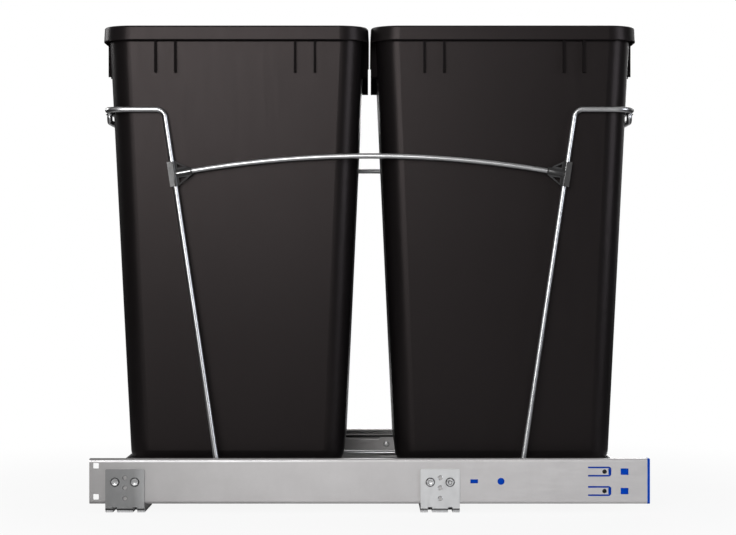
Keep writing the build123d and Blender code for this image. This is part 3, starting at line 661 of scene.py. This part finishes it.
def weld_spots():
    """Place and stretch of each bead, where wires of the frame touch."""
    rail_low, rail_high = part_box("right_rail")
    rail_y = (rail_low.y + rail_high.y) / 2.0
    over_rail = (rail_low.z + rail_high.z) / 2.0 + WIRE_RADIUS
    hoop_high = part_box("front_hoop")[1]
    foot_x = hoop_high.x - WIRE_RADIUS
    end_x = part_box("front_end_wire")[0].x + WIRE_RADIUS
    lower_low, lower_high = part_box("front_lower_wire")
    lower_x = lower_low.x + WIRE_RADIUS
    lower_y = lower_high.y - WIRE_RADIUS
    lower_z = hoop_high.z - 2.0 * WIRE_RADIUS
    spots = []
    for low, high in islands("cross_wires"):
        x = (low.x + high.x) / 2.0
        spots += [((x, side * rail_y, over_rail), BEAD_FLAT) for side in (-1.0, 1.0)]
    for end in (-1.0, 1.0):
        for side in (-1.0, 1.0):
            spots.append(((end * foot_x, side * rail_y, over_rail), BEAD_FLAT))
            spots.append(((end * end_x, side * rail_y, over_rail), BEAD_WIDE))
            spots.append(((end * lower_x, side * lower_y, lower_z), BEAD_WIDE))
    return spots


def weld_beads():
    """Small rippled resistance-weld beads on the frame."""
    mesh = bmesh.new()
    for number, (place, stretch) in enumerate(weld_spots()):
        scale = Matrix.Diagonal((*[BEAD_SIZE * share for share in stretch], 1.0))
        grown = Matrix.Translation(place) @ scale
        for vertex in bmesh.ops.create_icosphere(mesh, subdivisions=3, radius=1.0, matrix=grown)["verts"]:
            away = vertex.co - Vector(place)
            ripple = math.sin(RIPPLE_X * away.x + number) * math.cos(RIPPLE_Y * away.y - 2.0 * number)
            vertex.co = Vector(place) + away * (1.0 + BEAD_RIPPLE * ripple)
    smooth(piece("frame_welds", mesh, "pull_out_frame", "chrome_wire"), NO_EDGES)


def bar(mesh, first, second):
    """Solid between two four-cornered ends."""
    corners = [mesh.verts.new(place) for place in (*first, *second)]
    for k in range(4):
        mesh.faces.new((corners[k], corners[(k + 1) % 4], corners[4 + (k + 1) % 4], corners[4 + k]))
    mesh.faces.new(corners[:4])
    mesh.faces.new(corners[4:])


def upright_x(z):
    """Distance of the uprights' centrelines from the unit's middle at a height."""
    return UPRIGHT_X - UPRIGHT_LEAN * (UPRIGHT_Z - z)


def sleeve_lip(mesh, box, mirror, sign, width):
    """Lip along the upright sleeve of a connector."""
    low, high = box
    ends = []
    for z in (low.z + SLEEVE_MARGINS[0], high.z - SLEEVE_MARGINS[1]):
        ends.append([(mirror * (upright_x(z) - inward * MM), sign * (SIDE_WIRE_Y + outward * MM), z)
                     for inward, outward in zip((LIP_START, width, width, LIP_START), SLEEVE_FACES)])
    bar(mesh, *ends)


def arm_lip(mesh, box, mirror, sign, arch_z, rises):
    """Lip along the arm of a connector, which follows the arch, between two rises over its middle."""
    low, high = box
    joint_z = (low.z + high.z) / 2.0
    joint_x = upright_x(joint_z)
    sag = arch_z - joint_z
    slope = 2.0 * sag * joint_x / (joint_x * joint_x - sag * sag)
    below, above = rises
    near_wire, outside = ARM_FACES
    section = ((below, near_wire), (above, near_wire), (above, outside), (below, outside))
    ends = []
    for run in ARM_SPAN:
        ends.append([(mirror * (joint_x - run), sign * (SIDE_WIRE_Y + outward * MM),
                      joint_z + run * slope + rise * MM) for rise, outward in section])
    bar(mesh, *ends)


def connector_lips():
    """Slim snap lips that narrow or close the slits of the connectors' sleeves and arms."""
    mesh = bmesh.new()
    arch_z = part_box("right_arch")[1].z - WIRE_RADIUS
    for side, sign in SIDES.items():
        for end, mirror, width, all_rises in LIPS:
            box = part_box(f"{side}_{end}_connector")
            sleeve_lip(mesh, box, mirror, sign, width)
            for rises in all_rises:
                arm_lip(mesh, box, mirror, sign, arch_z, rises)
    bmesh.ops.bevel(mesh, geom=mesh.edges[:], offset=LIP_BEVEL, segments=2, affect="EDGES", profile=0.5)
    smooth(piece("connector_lips", mesh, "pull_out_frame", "grey_plastic"), 40.0)


for side, sign in SIDES.items():
    ball_row(f"{side}_outer_balls", f"{side}_outer_cage")
    ball_row(f"{side}_inner_balls", f"{side}_inner_cage")
    bracket_screw_set(side, sign)
    rivet_set(side, sign)
    damper_screw_set(side, sign)
    dimple_rims(side, sign)
weld_beads()
connector_lips()

# ---- studio ---------------------------------------------------------------------------------

WHITE = (1.0, 1.0, 1.0, 1.0)
FLOOR_HALF = 14.0
FLOOR_COLOUR = (0.80, 0.80, 0.80, 1.0)
SHADOW_NEAR = 0.36  # metres from the middle, where the floor shows its own shading
SHADOW_FAR = 0.75  # metres from the middle, where it has faded into the white background
NEAR_GLOW = 0.90
SKY_LIGHT = 0.26
SKY_MIRRORED = 0.08  # what reflections meet between the lamps, the backdrop and the wall

# what reflections meet by their direction: a pale backdrop behind the object (Y), with a dark
# flag in its middle, and a pale wall in front (Y) that starts above the floor (Z)
BACKDROP_RISE = (0.30, 0.55)
FLAG_RISE = (0.80, 0.93)
BACKDROP_TURN = (-0.2, 0.2)  # X over which the backdrop goes from its left to its right shade
BACKDROP_SHADES = (0.14, 0.75)
WALL_FRONT = (-0.30, -0.05)
WALL_RISE = (0.03, 0.14)
WALL_TURN = (-0.05, 0.12)  # X over which the wall goes from its left to its right shade
WALL_SHADES = (0.40, 0.22)

FLOOR_MIRRORED = (0.58, 0.58, 0.58, 1.0)  # the floor's shade in reflections
SIDE_MIRRORED = (0.05, 0.05, 0.05, 1.0)  # and its shade there to the left and right of the object
SIDE_RISE = (0.34, 0.66)  # metres to the side over which it turns to that


def studio_world():
    """White to the camera, an even sky as light, and a darker one with pale fields in reflections."""
    world = bpy.data.worlds.new("studio")
    world.use_nodes = True
    graph = Nodes(world.node_tree)
    rays = graph.add("ShaderNodeLightPath").outputs
    x, y, z = graph.split(graph.add("ShaderNodeTexCoord").outputs["Generated"])
    mirrored = graph.math("MAXIMUM", rays["Is Glossy Ray"], rays["Is Transmission Ray"])
    backdrop = graph.fade(y, *BACKDROP_RISE, 0.0, 1.0)
    open_share = graph.fade(y, *FLAG_RISE, 1.0, 0.0)
    sideways = graph.fade(x, *BACKDROP_TURN, *BACKDROP_SHADES)
    pale = graph.math("MULTIPLY", backdrop, open_share, sideways)
    in_front = graph.fade(y, *WALL_FRONT, 1.0, 0.0)
    above = graph.fade(z, *WALL_RISE, 0.0, 1.0)
    wall_side = graph.fade(x, *WALL_TURN, *WALL_SHADES)
    wall = graph.math("MULTIPLY", in_front, above, wall_side)
    reflected = graph.math("MULTIPLY", mirrored, graph.math("MAXIMUM", pale, wall, SKY_MIRRORED))
    direct = graph.math("MULTIPLY", graph.math("SUBTRACT", 1.0, mirrored), SKY_LIGHT)
    lit = graph.math("ADD", reflected, direct)
    sky = graph.add("ShaderNodeBackground")
    sky.inputs["Color"].default_value = WHITE
    graph.feed(sky.inputs["Strength"], graph.math("MAXIMUM", rays["Is Camera Ray"], lit))
    graph.feed(graph.add("ShaderNodeOutputWorld").inputs["Surface"], sky.outputs[0])
    return world


def floor_material():
    """Pale floor that keeps the shadow and fades into the white background round it.

    Reflections meet it duller, and dark to the left and right of the object.
    """
    graph = Surface("floor")
    rays = graph.add("ShaderNodeLightPath").outputs
    glow = graph.add("ShaderNodeEmission")
    glow.inputs["Color"].default_value = WHITE
    glow.inputs["Strength"].default_value = 1.0
    away = graph.add("ShaderNodeVectorMath", operation="LENGTH")
    graph.feed(away.inputs[0], graph.coordinates())
    share = graph.fade(away.outputs["Value"], SHADOW_NEAR, SHADOW_FAR, NEAR_GLOW, 1.0)
    aside = graph.fade(graph.math("ABSOLUTE", graph.axes()[0]), *SIDE_RISE, 0.0, 1.0)
    mirrored = graph.either(aside, graph.matt(FLOOR_MIRRORED), graph.matt(SIDE_MIRRORED))
    seen = graph.either(rays["Is Glossy Ray"], graph.matt(FLOOR_COLOUR), mirrored)
    whiter = graph.math("MULTIPLY", rays["Is Camera Ray"], share)
    graph.feed(graph.output.inputs["Surface"], graph.either(whiter, seen, glow.outputs[0]))
    return graph.material


def softbox(name, place, aim, width, height, watts, colour=(1.0, 1.0, 1.0)):
    """Rectangular lamp that faces a point and that the camera doesn't see."""
    data = bpy.data.lights.new(name, "AREA")
    data.shape = "RECTANGLE"
    data.size = width
    data.size_y = height
    data.energy = watts
    data.color = colour
    lamp = bpy.data.objects.new(name, data)
    lamp.location = place
    lamp.visible_camera = False
    direction = Vector(aim) - Vector(place)
    lamp.rotation_euler = direction.to_track_quat("-Z", "Y").to_euler()
    scene.collection.objects.link(lamp)


scene.world = studio_world()

floor_mesh = bpy.data.meshes.new("floor")
floor_mesh.from_pydata(
    [(-FLOOR_HALF, -FLOOR_HALF, 0.0), (FLOOR_HALF, -FLOOR_HALF, 0.0),
     (FLOOR_HALF, FLOOR_HALF, 0.0), (-FLOOR_HALF, FLOOR_HALF, 0.0)],
    [],
    [(0, 1, 2, 3)],
)
floor = bpy.data.objects.new("floor", floor_mesh)
floor.data.materials.append(floor_material())
scene.collection.objects.link(floor)

softbox("key", place=(-0.51, -2.45, 0.74), aim=(-0.08, 0.0, 0.32), width=1.0, height=1.0, watts=24.5)
softbox("right_fill", place=(2.0, -1.5, 0.7), aim=(0.1, 0.0, 0.25), width=1.1, height=1.3, watts=16.0,
        colour=(0.88, 0.92, 1.0))
softbox("left_rear", place=(-2.1, 1.2, 1.2), aim=(0.0, 0.0, 0.25), width=0.9, height=1.0, watts=12.0)
softbox("top", place=(0.0, 0.2, 2.2), aim=(0.0, 0.0, 0.3), width=1.5, height=1.2, watts=7.5)
softbox("back", place=(0.5, 2.4, 1.0), aim=(0.0, 0.0, 0.25), width=1.4, height=0.9, watts=20.0)

scene.view_settings.view_transform = "Standard"
